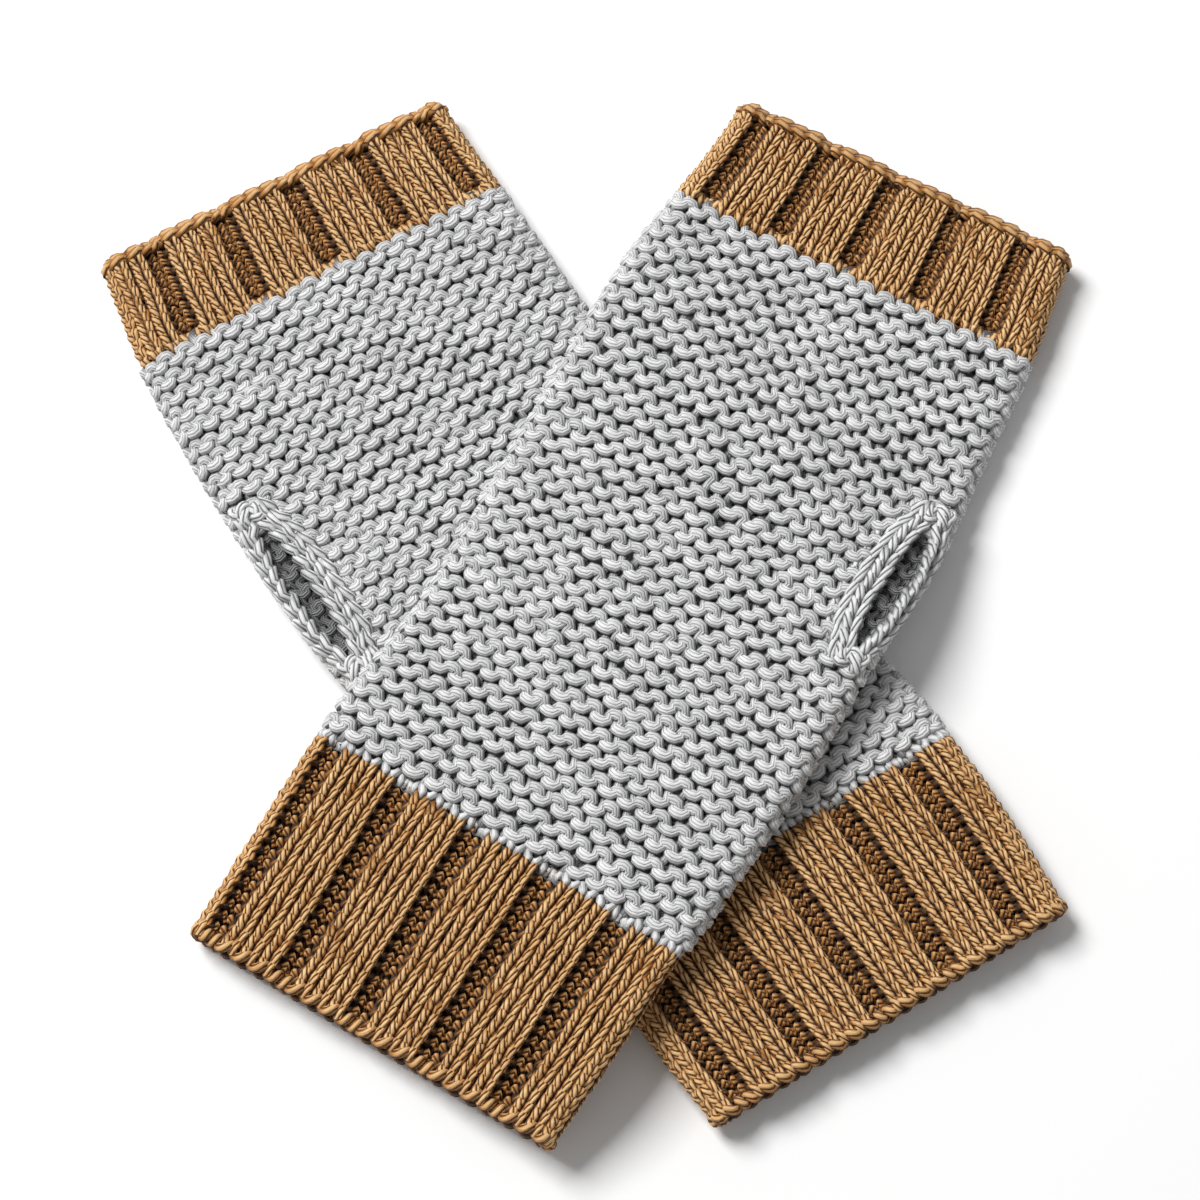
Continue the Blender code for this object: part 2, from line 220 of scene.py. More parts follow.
UPPER_SHARE = 0.27           # of the way round, to each side: these stitches show, and are finer
FURROW_DEPTH = 2.7
# The next two darken the yarn's colour with painted shade, where little light gets in.
FURROW_SHADE = 0.18          # how much darker the yarn is at the bottom of a furrow
CREASE_SHADE = 0.85          # how much darker the yarn is in the creases between strands
CREASE_FROM = 0.65           # where a crease starts, as a share of the way from a strand's middle
# The plies of a plain stitch show as slanting strips: how many there are to a row on left and on right
# legs, and how many of them lie side by side across a leg.
LEFT_STRIPS = 2.0
RIGHT_STRIPS = 1.0
LEFT_SLOPE = 1.5
RIGHT_SLOPE = 1.7
RIB_MIDDLE = 2.0             # depth of a rib's middle surface, halfway between legs and heads
RIB_DEPTHS = (0.8, 4.5)      # the least and the greatest depth of the yarn's middle in a cuff


def knit_loops(column, turn, own, above, gauge, lean, seed):
    """The way of the yarn through rows of stitches, as offsets from each row's straight line.

    turn goes from 0 to a full circle over a stitch. Sideways the yarn runs evenly plus a sine of twice
    the turn, which opens the head wider than the foot. Up the fabric it follows a cosine of the turn.
    Out of the fabric it follows two waves: one is set by the way the loop was pulled through the row
    below (own, +1 plain and -1 purl), the other by the way the row above is pulled through it (above).
    A sine and a cosine of the turn set which end of an arc lies uppermost. A little unevenness is
    shared smoothly between neighbouring stitches.
    """
    count = own.shape[1]
    beside = np.where(turn < math.pi, column - 1, column + 1) % count
    share = 0.5 * np.clip(np.cos(turn), 0.0, 1.0)
    uneven = gauge.uneven * np.random.default_rng(seed).normal(0.0, 1.0, (4,) + own.shape)

    def shared(values):
        """A stitch's value, mixed towards its neighbour's by up to a half where the two meet."""
        return values[:, column] * (1.0 - share) + values[:, beside] * share

    sideways = column + turn / (math.tau) + gauge.spread * np.sin(2.0 * turn)
    sideways = sideways - lean * np.cos(turn) + 0.04 * shared(uneven[0])
    up = -gauge.reach * np.cos(turn) * (1.0 + 0.06 * shared(uneven[1])) + 0.15 * shared(uneven[2])
    double = np.cos(2.0 * turn)
    out = shared(own) * (-double - np.cos(turn)) + above[:, column] * (np.cos(turn) - double)
    out = gauge.bulge * (0.5 * out + 0.10 * shared(uneven[3]))
    out = out + shared(own) * (gauge.twist * np.sin(turn) + gauge.tuck * np.cos(turn))
    return sideways, up, out


def turns_of(stitches, upper, fine, coarse, crowd):
    """Each sample's stitch and its turn, with fine samples where upper is true and coarse ones else.

    The samples crowd at the legs, or at the head and foot where crowd is below 0.
    """
    samples = np.where(upper, fine, coarse)
    column = np.repeat(np.arange(stitches), samples)
    first = np.repeat(np.cumsum(samples) - samples, samples)
    turn = (np.arange(samples.sum()) - first) / samples[column] * math.tau
    return column, turn + crowd * np.sin(2.0 * turn)


def unit(vectors):
    """Vectors of length 1: each one over its own length. One of no length stops the script."""
    length = np.linalg.norm(vectors, axis=-1, keepdims=True)
    if not length.min() > 0.0:
        raise ValueError("a direction has no length")
    return vectors / length


def add_object(name, data):
    """An object for a mesh, a light or a camera, put into the scene at the origin."""
    added = bpy.data.objects.new(name, data)
    bpy.context.scene.collection.objects.link(added)
    return added


SIDES = 6                    # of a yarn's section


def plied(half_stitches, plies):
    """The ply that each point round the yarn is on: the plies go round it by one in each half stitch."""
    return plies * np.arange(SIDES + 1) / SIDES - half_stitches[..., None]


def yarn_piece(name, centre, outward, radius, closed, lay, light):
    """Yarn as tubes, one for each row of a grid of centre points in mm.

    A ring of points lies square to the yarn: centre + radius * (cos(a) * side + sin(a) * up), where side
    is across the yarn in the fabric and up is out of the fabric. Rows whose closed flag is set run
    round into themselves, and the others end in flat caps. The map "yarn" holds the ply that a point is
    on (lay) and the turn round the yarn, and the map "OFBake" lays the rows out as bands. The attribute
    "light" is the share of the light that gets in between the yarns, which the material paints into the
    yarn's colour as shade.
    """
    rows, steps = centre.shape[:2]
    way = np.roll(centre, -1, axis=1) - np.roll(centre, 1, axis=1)
    way[~closed, 0] = centre[~closed, 1] - centre[~closed, 0]
    way[~closed, -1] = centre[~closed, -1] - centre[~closed, -2]
    way = unit(way)
    side = unit(np.cross(way, outward))
    up = np.cross(side, way)
    angle = np.arange(SIDES) / SIDES * math.tau
    ring = np.cos(angle)[:, None] * side[:, :, None] + np.sin(angle)[:, None] * up[:, :, None]
    points = centre[:, :, None] + np.broadcast_to(radius, (rows, steps))[:, :, None, None] * ring
    points = points.reshape(-1, 3) * MM - MIDDLE

    index = np.arange(rows * steps * SIDES).reshape(rows, steps, SIDES)
    index = np.concatenate((index, index[:, :1]), axis=1)
    index = np.concatenate((index, index[:, :, :1]), axis=2)
    kept = np.ones((rows, steps), bool)
    kept[~closed, -1] = False

    def four_corners(grid):
        """A grid's values at the four corners of every kept face, in order round it."""
        four = (grid[:, :-1, :-1], grid[:, 1:, :-1], grid[:, 1:, 1:], grid[:, :-1, 1:])
        return np.stack(four, axis=3)[kept]

    quads = four_corners(index).reshape(-1, 4)
    ends = np.concatenate((index[~closed, 0, :-1][:, ::-1], index[~closed, steps - 1, :-1]))

    turned = np.arange(SIDES + 1) / SIDES
    lay = np.broadcast_to(lay, (rows, steps, SIDES + 1))
    lay = np.concatenate((lay, 2.0 * lay[:, -1:] - lay[:, -2:-1]), axis=1)

    def quad_map(along, across):
        """A map's two values, along and across the yarn, at the corners of every kept face."""
        return four_corners(np.stack(np.broadcast_arrays(along, across), axis=-1)).reshape(-1, 2)

    band = (np.arange(rows)[:, None, None] + 0.04 + 0.92 * turned) / rows
    share = np.linspace(0.002, 0.998, steps + 1)[:, None]
    yarn_map = quad_map(lay, turned)
    bake_map = quad_map(share, band)
    caps = ends.size
    yarn_map = np.concatenate((yarn_map, np.zeros((caps, 2))))
    end_rows = np.tile(np.repeat((np.flatnonzero(~closed) + 0.5) / rows, SIDES), 2)
    bake_map = np.concatenate((bake_map, np.stack((np.full(caps, 0.001), end_rows), axis=-1)))

    mesh = bpy.data.meshes.new(name)
    mesh.vertices.add(len(points))
    mesh.vertices.foreach_set("co", points.ravel())
    loops = np.concatenate((quads.ravel(), ends.ravel()))
    starts = np.concatenate((np.arange(len(quads)) * 4, quads.size + np.arange(len(ends)) * SIDES))
    mesh.loops.add(loops.size)
    mesh.loops.foreach_set("vertex_index", loops)
    mesh.polygons.add(starts.size)
    mesh.polygons.foreach_set("loop_start", starts)
    mesh.update(calc_edges=True)
    mesh.validate()
    for layer, values in (("yarn", yarn_map), ("OFBake", bake_map)):
        mesh.uv_layers.new(name=layer).uv.foreach_set("vector", values.ravel())
    mesh.uv_layers["yarn"].active_render = True
    lit = np.broadcast_to(light, (rows, steps, SIDES)).ravel().astype(np.float32)
    mesh.attributes.new("light", "FLOAT", "POINT").data.foreach_set("value", lit)
    mesh.shade_smooth()
    return add_object(name, mesh)


def outward_at(mitt, around, along):
    """The way out of the fabric, read from two depths."""
    return unit(place(mitt, around, along, 0.0) - place(mitt, around, along, 1.0))


# Across one rib: the places of its stitches' edges, since the plain ones spread and the purl ones fold.
RIB_EDGES = (0.0, 0.2, 0.8, 1.0)
RIB_PLACES = (0.0, 0.14, 0.86, 1.0)
PLAIN_STITCH = 4.05          # width of a plain stitch
RIB_LEVEL = 0.30             # half of a rib's level middle, as a share of a rib
FURROW_EASE = 0.19           # the share over which it eases down from there
CUFF_FOLD = 4.8              # radius of a cuff's two folds
PRESSED = 0.5                # depth of the furrows underneath, as a share of those on top


def rib_share(stitch, rib_turn):
    """Share of the way round a cuff, from -0.5 to 0.5, of a place counted in stitches, and of its rib."""
    rib = np.floor(stitch / RIB_STITCHES)
    inside = np.interp(stitch / RIB_STITCHES - rib, RIB_EDGES, RIB_PLACES)
    return ((rib + inside + rib_turn) / RIBS + 0.5) % 1.0 - 0.5, inside


def furrow_share(inside):
    """0 over a rib's level middle, eased to 1 at the bottom of the furrows beside it."""
    return smooth_step((np.abs(inside - 0.5) - RIB_LEVEL) / FURROW_EASE)


def on_ribs(mitt, stitch, along, out, rib_turn, furrow):
    """Place yarn on the ribs, and the way out of the fabric there.

    A rib is level over its middle and eases down into furrows at its sides. The furrows are shallower
    underneath, where the cuff is pressed flat.
    """
    share, inside = rib_share(stitch, rib_turn)
    around = 2.0 * half_round(mitt, along) * share
    turned = np.clip((np.abs(around) - half_flat(mitt, along)) / CUFF_FOLD, 0.0, math.pi)
    relief = PRESSED + (1.0 - PRESSED) * smooth_step((np.cos(turned) + 0.95) / 0.7)
    depth = np.clip(RIB_MIDDLE + furrow * furrow_share(inside) * relief - out, *RIB_DEPTHS)
    return place(mitt, around, along, depth), outward_at(mitt, around, along)


def light_between(out, behind, before, least):
    """Share of the light that reaches yarn which stands out so far: least behind, all of it before."""
    return least + (1.0 - least) * smooth_step((out - behind) / (before - behind))


def creased(stitch, turn, radius, pitch, handed, shade):
    """Share of the light that reaches each point round the yarn of plain stitches: little in creases.

    The legs of the stitches make strands half a stitch wide. A point's place across them is the yarn's
    own place plus radius * cos(a) to its side, and the creases are where two strands meet.
    """
    angle = np.arange(SIDES) / SIDES * math.tau
    aside = (handed * np.sign(np.sin(turn)) * radius / pitch)[..., None] * np.cos(angle)
    strand = 2.0 * (stitch[..., None] + aside)
    from_middle = 2.0 * np.abs(strand - np.floor(strand) - 0.5)
    return 1.0 - shade * smooth_step((from_middle - CREASE_FROM) / 0.35)


def strips(stitch, column, turn, radius, along, pitch, height, handed):
    """The ply that each point of a plain stitch is on, as a strand of legs shows them.

    The ply is the strips to a row times the rows that lie below, plus a slope times the place across the
    leg. The slope has one sign on left legs and the other on right ones, so the strips meet in a V.
    """
    angle = np.arange(SIDES + 1) / SIDES * math.tau
    leg = np.where(turn < math.pi, 1.0, -1.0)
    across = 2.0 * (stitch - column)[..., None] - np.where(turn < math.pi, 0.5, 1.5)[:, None]
    across = across + (handed * leg * 2.0 * radius / pitch)[..., None] * np.cos(angle)
    left = leg * handed > 0.0
    slope = np.where(left, LEFT_SLOPE, -RIGHT_SLOPE) * handed
    upward = np.where(left, LEFT_STRIPS, RIGHT_STRIPS) / height
    return (upward * along)[..., None] + slope[:, None] * across


def plumpness(gauge, turn):
    """The yarn's radius, larger at the legs of a stitch (or at its head and foot where plump < 0)."""
    return gauge.yarn * (1.0 - gauge.plump * np.cos(2.0 * turn))


def rib_rows(mitt, name, start, end, rows, rib_turn, seed):
    """Rows of ribbed knitting round a cuff, whose purl stitches sink into the furrows.

    The first and last stitch of a rib are purl, with their own reach, spread and yarn. Each row's line
    lies a row's height over the one below, and the loops of knit_loops are added to it.
    """
    stitches = RIBS * RIB_STITCHES
    middle = rib_share(np.arange(stitches) + 0.5, rib_turn)[0]
    column, turn = turns_of(stitches, np.abs(middle) < UPPER_SHARE, fine=8, coarse=6, crowd=0.08)
    sunk = np.arange(stitches) % RIB_STITCHES % (RIB_STITCHES - 1) == 0
    purl = sunk[column]
    face = np.broadcast_to(np.where(sunk, -1.0, 1.0), (rows, stitches))
    gauge = RIB_GAUGE._replace(
        reach=np.where(purl, PURL_REACH, RIB_GAUGE.reach),
        spread=np.where(purl, PURL_SPREAD, RIB_GAUGE.spread),
        plump=np.where(purl, PURL_PLUMP, RIB_GAUGE.plump),
    )
    stitch, up, out = knit_loops(column, turn, face, face, gauge, LEAN * mitt.thumb_side, seed)
    height = (end - start) / rows
    along = start + (np.arange(rows)[:, None] + 0.5) * height + up
    along = np.clip(along, start - 0.4, end + 1.0)
    centre, outward = on_ribs(mitt, stitch, along, out, rib_turn, FURROW_DEPTH)
    radius = np.where(purl, PURL_YARN, 1.0) * plumpness(gauge, turn)
    light = np.where(
        purl,
        light_between(out, behind=0.2, before=1.0, least=0.10),
        light_between(out, behind=-0.4, before=0.6, least=0.25),
    )
    light = light * (1.0 - FURROW_SHADE * furrow_share(rib_share(stitch, rib_turn)[1]))
    purl = purl[:, None]
    creases = creased(stitch, turn, radius, PLAIN_STITCH, mitt.thumb_side, CREASE_SHADE)
    light = light[..., None] * np.where(purl, 1.0, creases)
    lay = strips(stitch, column, turn, radius, along, PLAIN_STITCH, height, mitt.thumb_side)
    lay = np.where(purl, plied(2.0 * column + turn / math.pi, BROWN_PLIES), lay)
    return yarn_piece(name, centre, outward, radius, np.ones(rows, bool), lay, light)


BROWN_PLIES = 4
EDGE_YARN = 1.12
WRAP_MIDDLE = 1.1            # how far up the cuff the middle of the cast-on's wraps lies
WRAP_REACH = 0.85            # half of the way that each wrap goes up the cuff
WRAP_OUT = 0.15              # how far the middle of the wraps stands out of the cuff's face
WRAP_BULGE = 0.9             # half of the way that each wrap goes in and out
WRAP_SWAY = 0.08             # how unevenly it goes round, in stitches
WRAP_STEPS = 12
WRAP_SHADE = 0.85


def cast_on_edge(mitt, name, rib_turn):
    """The cast-on: yarn wrapped once over the edge at each stitch, as a flattened helix round it.

    Along the edge it goes evenly plus a sine of the turn, up the cuff by a cosine, and out by a sine.
    """
    stitches = RIBS * RIB_STITCHES
    turn = np.arange(stitches * WRAP_STEPS)[None, :] / WRAP_STEPS * math.tau
    stitch = turn / (math.tau) + WRAP_SWAY * np.sin(turn)
    along = WRAP_MIDDLE - WRAP_REACH * np.cos(turn)
    out = WRAP_OUT + WRAP_BULGE * np.sin(turn)
    centre, outward = on_ribs(mitt, stitch, along, out, rib_turn, 0.7 * FURROW_DEPTH)
    light = WRAP_SHADE * light_between(out, behind=-0.6, before=1.0, least=0.2)
    lay = plied(turn / math.pi, BROWN_PLIES)
    return yarn_piece(name, centre, outward, EDGE_YARN, np.ones(1, bool), lay, light[..., None])


def yarn_material(name, groove, hair, rounding, sides, light, middle, dark):
    """Plied cotton: plies wound round each other, each with fine fibres along it.

    The map "yarn" counts the plies, and the tone is a wave over that count. They are rounded by bump, and
    the grooves between them are darkened with painted shade, down to the tone that groove gives. The yarn's
    sides and back, where the next yarn shades them, are darkened with painted shade, down to the tone that
    sides gives. Noise drawn out along the plies (hair) and noise in patches vary the tone, and the
    attribute
    "light" darkens it further with painted shade. The ramp runs from dark, the colour in the deepest
    painted shade, through middle, to light, a painted highlight on the middles of the brightest plies.
    """
    material = bpy.data.materials.new(name)
    material.use_nodes = True
    nodes = material.node_tree.nodes
    links = material.node_tree.links
    shader = nodes["Principled BSDF"]
    shader.inputs["Roughness"].default_value = 0.75
    shader.inputs["Specular IOR Level"].default_value = 0.25
    shader.inputs["Sheen Weight"].default_value = 0.08
    shader.inputs["Sheen Roughness"].default_value = 0.5

    def maths(operation, first, second=0.0):
        """A Math node on two values, each a socket or a number."""
        node = nodes.new("ShaderNodeMath")
        node.operation = operation
        for socket, value in zip(node.inputs, (first, second)):
            if isinstance(value, (int, float)):
                socket.default_value = value
            else:
                links.new(value, socket)
        return node.outputs[0]

    def eased(value, low, high, to_low, to_high):
        """A Map Range node that eases from one pair of values to another."""
        node = nodes.new("ShaderNodeMapRange")
        node.interpolation_type = "SMOOTHSTEP"
        links.new(value, node.inputs["Value"])
        limits = {"From Min": low, "From Max": high, "To Min": to_low, "To Max": to_high}
        for socket, number in limits.items():
            node.inputs[socket].default_value = number
        return node.outputs["Result"]

    uv = nodes.new("ShaderNodeUVMap")
    uv.uv_map = "yarn"
    apart = nodes.new("ShaderNodeSeparateXYZ")
    links.new(uv.outputs["UV"], apart.inputs[0])
    lay = apart.outputs["X"]
    turned = apart.outputs["Y"]
    wave = maths("ABSOLUTE", maths("SINE", maths("MULTIPLY", lay, math.pi)))
    front = maths("SINE", maths("MULTIPLY", turned, math.tau))

    # Fibres: noise that is long along the plies and short across them.
    where = nodes.new("ShaderNodeTexCoord")
    place_of = nodes.new("ShaderNodeSeparateXYZ")
    links.new(where.outputs["Object"], place_of.inputs[0])
    fibre_at = nodes.new("ShaderNodeCombineXYZ")
    links.new(maths("MULTIPLY", lay, 3.5), fibre_at.inputs[0])
    links.new(maths("MULTIPLY", place_of.outputs["X"], 450.0), fibre_at.inputs[1])
    links.new(maths("MULTIPLY", place_of.outputs["Y"], 450.0), fibre_at.inputs[2])
    fibres = nodes.new("ShaderNodeTexNoise")
    fibres.inputs["Scale"].default_value = 1.6
    fibres.inputs["Detail"].default_value = 3.0
    links.new(fibre_at.outputs[0], fibres.inputs["Vector"])

    patches = nodes.new("ShaderNodeTexNoise")
    patches.inputs["Scale"].default_value = 160.0
    patches.inputs["Detail"].default_value = 2.0
    links.new(where.outputs["Object"], patches.inputs["Vector"])

    light_at = nodes.new("ShaderNodeAttribute")
    light_at.attribute_name = "light"
    # Painted shade: the tone is lowered in the ply grooves, at the yarn's sides and back, and by "light".
    tone = maths("MULTIPLY", eased(wave, 0.0, 0.75, groove, 0.85), eased(front, -0.3, 0.75, sides, 1.0))
    tone = maths("ADD", tone, maths("MULTIPLY", maths("SUBTRACT", fibres.outputs["Fac"], 0.45), hair))
    tone = maths("ADD", tone, maths("MULTIPLY", maths("SUBTRACT", patches.outputs["Fac"], 0.5), 0.35))
    tone = maths("MULTIPLY", tone, light_at.outputs["Fac"])
    # The ramp's dark end is the colour in painted shade, and its light end a painted highlight.
    ramp = nodes.new("ShaderNodeValToRGB")
    ramp.color_ramp.elements[0].color = dark
    ramp.color_ramp.elements[1].color = light
    ramp.color_ramp.elements.new(0.5).color = middle
    links.new(tone, ramp.inputs["Fac"])
    links.new(ramp.outputs["Color"], shader.inputs["Base Color"])

    bump = nodes.new("ShaderNodeBump")
    bump.inputs["Strength"].default_value = 1.0
    bump.inputs["Distance"].default_value = rounding * MM
    height = maths("ADD", maths("POWER", wave, 0.6), maths("MULTIPLY", fibres.outputs["Fac"], 0.4))
    links.new(height, bump.inputs["Height"])
    links.new(bump.outputs["Normal"], shader.inputs["Normal"])
    return material


# Its dark colour is the brown in painted shade, and its light colour a painted highlight.
brown_yarn = yarn_material(
    "brown_cotton", groove=0.04, hair=0.45, rounding=0.55, sides=0.30,
    light=(0.97, 0.67, 0.34, 1), middle=(0.44, 0.185, 0.042, 1), dark=(0.026, 0.007, 0.001, 1),
)


WALL_STEP = 4.0              # between the inner wall's rings
WALL_SIDES = 96              # faces in each ring


def inner_wall(mitt, name, start, end, depth, material):
    """The knitting's inside, dark with painted shade: a tube at one depth behind the loops, on a grid of
    along by round.
    """
    along = np.linspace(start, end, max(3, int((end - start) / WALL_STEP)))[:, None]
    share = np.linspace(-1.0, 1.0, WALL_SIDES + 1)[None, :-1]
    points = place(mitt, share * half_round(mitt, along), along, depth).reshape(-1, 3) * MM - MIDDLE
    index = np.arange(along.size * share.size).reshape(along.size, share.size)
    index = np.concatenate((index, index[:, :1]), axis=1)
    quads = np.stack((index[:-1, :-1], index[1:, :-1], index[1:, 1:], index[:-1, 1:]), axis=-1)
    mesh = bpy.data.meshes.new(name)
    mesh.from_pydata(points.tolist(), [], quads.reshape(-1, 4).tolist())
    mesh.shade_smooth()
    mesh.materials.append(material)
    return add_object(name, mesh)


def shadow_material(name, colour):
    """The yarn deep between the loops, in their shade."""
    material = bpy.data.materials.new(name)
    material.use_nodes = True
    nodes = material.node_tree.nodes
    shader = nodes["Principled BSDF"]
    shader.inputs["Roughness"].default_value = 0.95
    where = nodes.new("ShaderNodeTexCoord")
    mottle = nodes.new("ShaderNodeTexNoise")
    mottle.inputs["Scale"].default_value = 700.0
    ramp = nodes.new("ShaderNodeValToRGB")
    ramp.color_ramp.elements[0].color = (*[0.5 * c for c in colour[:3]], 1)
    ramp.color_ramp.elements[1].color = colour
    material.node_tree.links.new(where.outputs["Object"], mottle.inputs["Vector"])
    material.node_tree.links.new(mottle.outputs["Fac"], ramp.inputs["Fac"])
    material.node_tree.links.new(ramp.outputs["Color"], shader.inputs["Base Color"])
    return material


CUFF_INSIDE = 4.6            # depth of the dark inside, behind the furrows
EDGE_ROOM = 1.2              # from it to the cuff's open end
brown_shade = shadow_material("brown_shade", (0.030, 0.011, 0.003, 1))


def finish_piece(piece, material, node):
    """Give a piece its yarn, and let it stand for the solid that it covers."""
    piece.data.materials.append(material)
    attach(piece, "root")
    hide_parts(node)


def declare_tube(mitt, wall, start, end, node):
    """Attach a knitted tube's inside wall to the root body and hide the solid that it covers; its way
    round, at the middle of it, is worked out but not used.
    """
    around = float(2.0 * half_round(mitt, 0.5 * (start + end))) * MM
    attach(wall, "root")
    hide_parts(node)


for mitt in MITTS:
    node = mitt.name + "_wrist_cuff"
    ribs = rib_rows(
        mitt, node + "_ribs", CAST_ON_ROOM, WRIST_SEAM - SEAM_ROOM, WRIST_ROWS, mitt.wrist_turn, seed=11,
    )
    edge = cast_on_edge(mitt, node + "_cast_on", mitt.wrist_turn)
    finish_piece(ribs, brown_yarn, node)
    finish_piece(edge, brown_yarn, node)
    wall = inner_wall(mitt, node + "_inside", EDGE_ROOM, WRIST_SEAM, CUFF_INSIDE, brown_shade)
    declare_tube(mitt, wall, 0.0, WRIST_SEAM, node)


# --- The hands -----------------------------------------------
# Light grey cotton in garter stitch: a plain row and a purl row by turns, so that the heads of one row
# and the feet of the next stand out as ridges of small arcs. The rows part at the thumb slit.

# In garter stitch the loops' reach is counted in the rows' own height.
GARTER_GAUGE = Gauge(
    yarn=1.24, plump=-0.20, reach=0.98, spread=0.21, bulge=1.05, twist=-0.5, tuck=0.0, uneven=1.5,
)
HEAD_SHADE = 0.90            # a ridge's upper arcs catch less light than its lower ones
HAND_THICKNESS = 9.2         # at the slit
HAND_INSIDE = 3.8            # depth of the dark inside
SLIT_PAST_FOLD = 0.4         # how far past the end of the flat upper face the slit lies
SLIT_MIDDLE = 141.0
SLIT_HALF_LENGTH = 15.5
SLIT_HALF_GAPE = 2.1
EDGING_HALF_LENGTH = 20.8
EDGING_WIDTH_PALM_SIDE = 6.3
EDGING_WIDTH_FOLD_SIDE = 4.6
HOLE_SHARE = 0.30            # of the edging's width and ends, taken by the hole
PARTED_FOLD_SIDE = 12.0      # how far from the slit the stitches are still moved aside
PARTED_PALM_SIDE = 24.0
SEAM_ROW = 0.6               # room that the row at each seam takes from the garter stitch
SEAM_REACH = 0.4             # how far the loops may reach past a seam
GREY_PLIES = 10

# Its dark colour is the grey in painted shade, and its light colour a painted highlight.
grey_yarn = yarn_material(
    "grey_cotton", groove=0.66, hair=0.85, rounding=0.18, sides=0.0,
    light=(0.87, 0.87, 0.87, 1), middle=(0.30, 0.302, 0.305, 1), dark=(0.025, 0.025, 0.026, 1),
)
grey_shade = shadow_material("grey_shade", (0.05, 0.05, 0.051, 1))


def parted(mitt, past, along):
    """Distance round the hand of a place that far round from the slit, once the rows part there.

    The hole is a half ellipse wide to each side, and the stitches beside it move aside by as much,
    less and less away from it.
    """
    half_length = SLIT_HALF_LENGTH + HOLE_SHARE * (EDGING_HALF_LENGTH - SLIT_HALF_LENGTH)
    fold_side = SLIT_HALF_GAPE + HOLE_SHARE * EDGING_WIDTH_FOLD_SIDE
    palm_side = SLIT_HALF_GAPE + HOLE_SHARE * EDGING_WIDTH_PALM_SIDE
    part = np.sqrt(np.clip(1.0 - ((along - SLIT_MIDDLE) / half_length) ** 2, 0.0, 1.0))
    half = half_round(mitt, along)
    short = 2.0 * half - past
    around = half_flat(mitt, along) + SLIT_PAST_FOLD + past
    around = around + fold_side * part * np.clip(1.0 - past / PARTED_FOLD_SIDE, 0.0, 1.0)
    around = around - palm_side * part * np.clip(1.0 - short / PARTED_PALM_SIDE, 0.0, 1.0)
    return (around + half) % (2.0 * half) - half


def garter_rows(mitt, name, first, last, seed):
    """Rows first to last of garter stitch round a hand, open where the slit is.

    The rows are spaced and looped as the ribs' are. From the slit a row goes round the thumb fold and the
    underside, and back over the upper face.
    """
    every = 2 * mitt.ridges
    rows = np.arange(first, last)
    height = (FINGER_SEAM - WRIST_SEAM - 2.0 * SEAM_ROW) / every
    line = WRIST_SEAM + SEAM_ROW + (rows[:, None] + 0.5) * height
    stitches = mitt.stitches
    fold = 0.5 * math.pi * HAND_THICKNESS / (2.0 * float(half_round(mitt, SLIT_MIDDLE)))
    share = (np.arange(stitches) + 0.5) / stitches
    seen = (share < 0.6 * fold) | (share > 0.5)
    column, turn = turns_of(stitches, seen, fine=12, coarse=6, crowd=-0.18)
    own = np.where(rows % 2 == 0, 1.0, -1.0)[:, None] * np.ones(stitches)
    # Both mitts are knitted alike, so on the mirrored mitt the arcs overlap the other way.
    gauge = GARTER_GAUGE._replace(
        reach=GARTER_GAUGE.reach * height, twist=GARTER_GAUGE.twist * mitt.thumb_side,
    )
    sideways, up, out = knit_loops(column, turn, own, -own, gauge, 0.0, seed)
    along = np.clip(line + up, WRIST_SEAM - SEAM_REACH, FINGER_SEAM + SEAM_REACH)
    half_length = SLIT_HALF_LENGTH + HOLE_SHARE * (EDGING_HALF_LENGTH - SLIT_HALF_LENGTH)
    closed = np.abs(line[:, 0] - SLIT_MIDDLE) > half_length
    share = np.where(closed[:, None], sideways / stitches, np.clip(sideways / stitches, 0.0, 1.0))
    around = parted(mitt, share * 2.0 * half_round(mitt, along), along)
    depth = GARTER_GAUGE.yarn + GARTER_GAUGE.bulge + 0.1 - out
    depth = np.maximum(depth, GARTER_GAUGE.yarn * 0.95)
    centre = place(mitt, around, along, depth)
    outward = outward_at(mitt, around, along)
    light = light_between(out, behind=-0.9, before=1.0, least=0.14)
    light = np.where(own[:, :1] > 0.0, HEAD_SHADE, 1.0) * light
    radius = plumpness(GARTER_GAUGE, turn)
    lay = plied(2.0 * column + turn / math.pi, GREY_PLIES)
    return yarn_piece(name, centre, outward, radius, closed, lay, light[..., None])


SEAM_GAUGE = Gauge(
    yarn=0.95, plump=0.10, reach=1.6, spread=0.235, bulge=0.7, twist=0.0, tuck=0.30, uneven=1.0,
)
SEAM_FURROW = 0.6 * FURROW_DEPTH     # the furrows are shallower at a cuff's ends


def seam_row(mitt, name, middle, rib_turn, seed):
    """The row where the yarn changes: plain stitches that reach down into the ribs."""
    stitches = RIBS * RIB_STITCHES
    share = rib_share(np.arange(stitches) + 0.5, rib_turn)[0]
    column, turn = turns_of(stitches, np.abs(share) < UPPER_SHARE, fine=9, coarse=6, crowd=0.1)
    face = np.ones((1, stitches))
    stitch, up, out = knit_loops(column, turn, face, face, SEAM_GAUGE, LEAN * mitt.thumb_side, seed)
    centre, outward = on_ribs(mitt, stitch, middle + up, out, rib_turn, SEAM_FURROW)
    light = light_between(out, behind=-0.15, before=0.55, least=0.15)
    radius = plumpness(SEAM_GAUGE, turn)
    lay = plied(2.0 * column + turn / math.pi, BROWN_PLIES)
    return yarn_piece(name, centre, outward, radius, np.ones(1, bool), lay, light[..., None])


